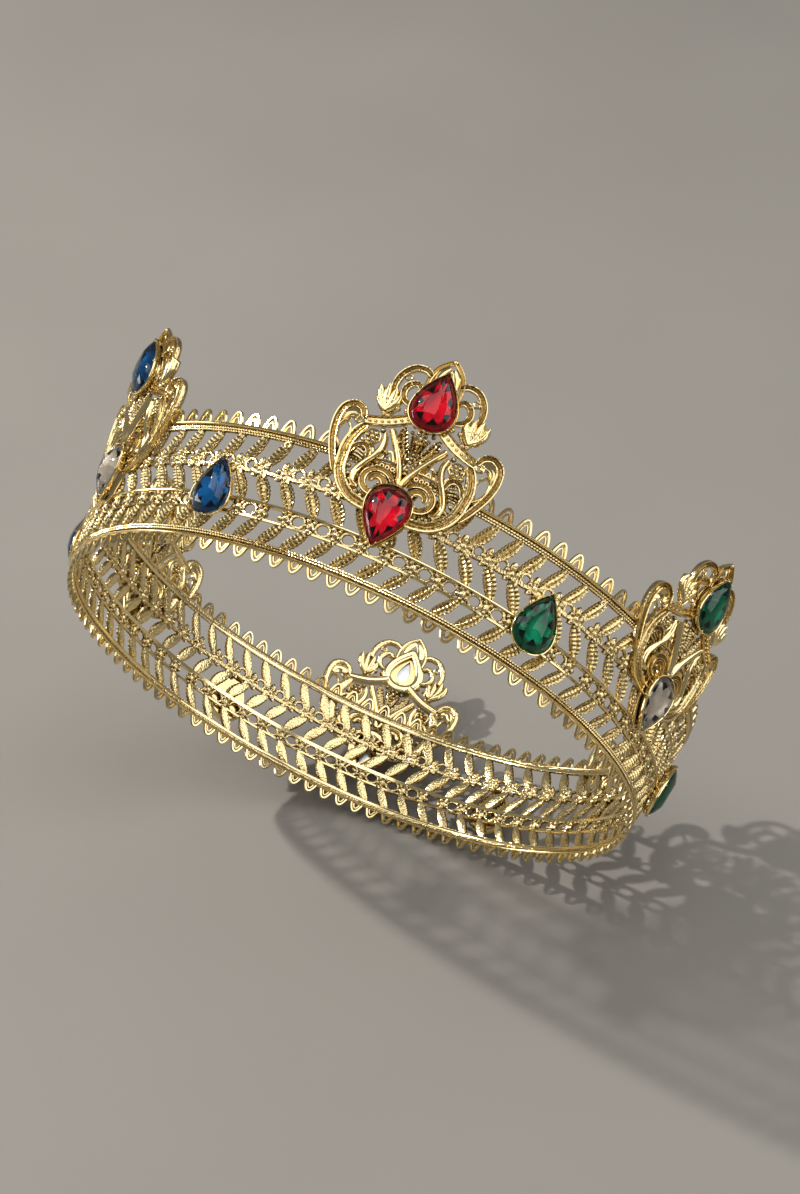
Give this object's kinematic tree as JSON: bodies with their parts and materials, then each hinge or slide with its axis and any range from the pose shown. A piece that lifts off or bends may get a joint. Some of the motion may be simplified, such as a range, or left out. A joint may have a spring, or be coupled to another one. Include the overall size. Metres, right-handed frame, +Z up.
{
  "type": "crown",
  "caption": "Full round filigree crown: a flared band of pierced leaf-pattern metal with raised filigree plaques and pear-cut glass stones in thin settings.",
  "frame": {"origin": "middle of the crown's base, on the surface it stands on", "axes": "+Z up through the head opening; the front plaque faces -Y"},
  "size_m": [0.1912, 0.205, 0.0684],
  "materials": {
    "gold_plate": "polished light yellow gold plate",
    "ruby_glass": "clear faceted glass over foil",
    "sapphire_glass": "clear faceted glass over foil",
    "emerald_glass": "clear faceted glass over foil",
    "champagne_glass": "clear faceted glass over foil"
  },
  "bodies": {
    "root": {"band_strip_1": "gold_plate", "plaque_1": "gold_plate", "upper_setting_1": "gold_plate", "upper_stone_1": "ruby_glass", "lower_setting_1": "gold_plate", "lower_stone_1": "ruby_glass", "band_setting_1": "gold_plate", "band_stone_1": "emerald_glass", "band_strip_2": "gold_plate", "plaque_2": "gold_plate", "upper_setting_2": "gold_plate", "upper_stone_2": "emerald_glass", "lower_setting_2": "gold_plate", "lower_stone_2": "champagne_glass", "band_setting_2": "gold_plate", "band_stone_2": "emerald_glass", "band_strip_3": "gold_plate", "plaque_3": "gold_plate", "upper_setting_3": "gold_plate", "upper_stone_3": "sapphire_glass", "lower_setting_3": "gold_plate", "lower_stone_3": "champagne_glass", "band_setting_3": "gold_plate", "band_stone_3": "emerald_glass", "band_strip_4": "gold_plate", "plaque_4": "gold_plate", "upper_setting_4": "gold_plate", "upper_stone_4": "ruby_glass", "lower_setting_4": "gold_plate", "lower_stone_4": "ruby_glass", "band_setting_4": "gold_plate", "band_stone_4": "sapphire_glass", "band_strip_5": "gold_plate", "plaque_5": "gold_plate", "upper_setting_5": "gold_plate", "upper_stone_5": "emerald_glass", "lower_setting_5": "gold_plate", "lower_stone_5": "champagne_glass", "band_setting_5": "gold_plate", "band_stone_5": "sapphire_glass", "band_strip_6": "gold_plate", "plaque_6": "gold_plate", "upper_setting_6": "gold_plate", "upper_stone_6": "sapphire_glass", "lower_setting_6": "gold_plate", "lower_stone_6": "champagne_glass", "band_setting_6": "gold_plate", "band_stone_6": "sapphire_glass"}
  },
  "joints": []
}
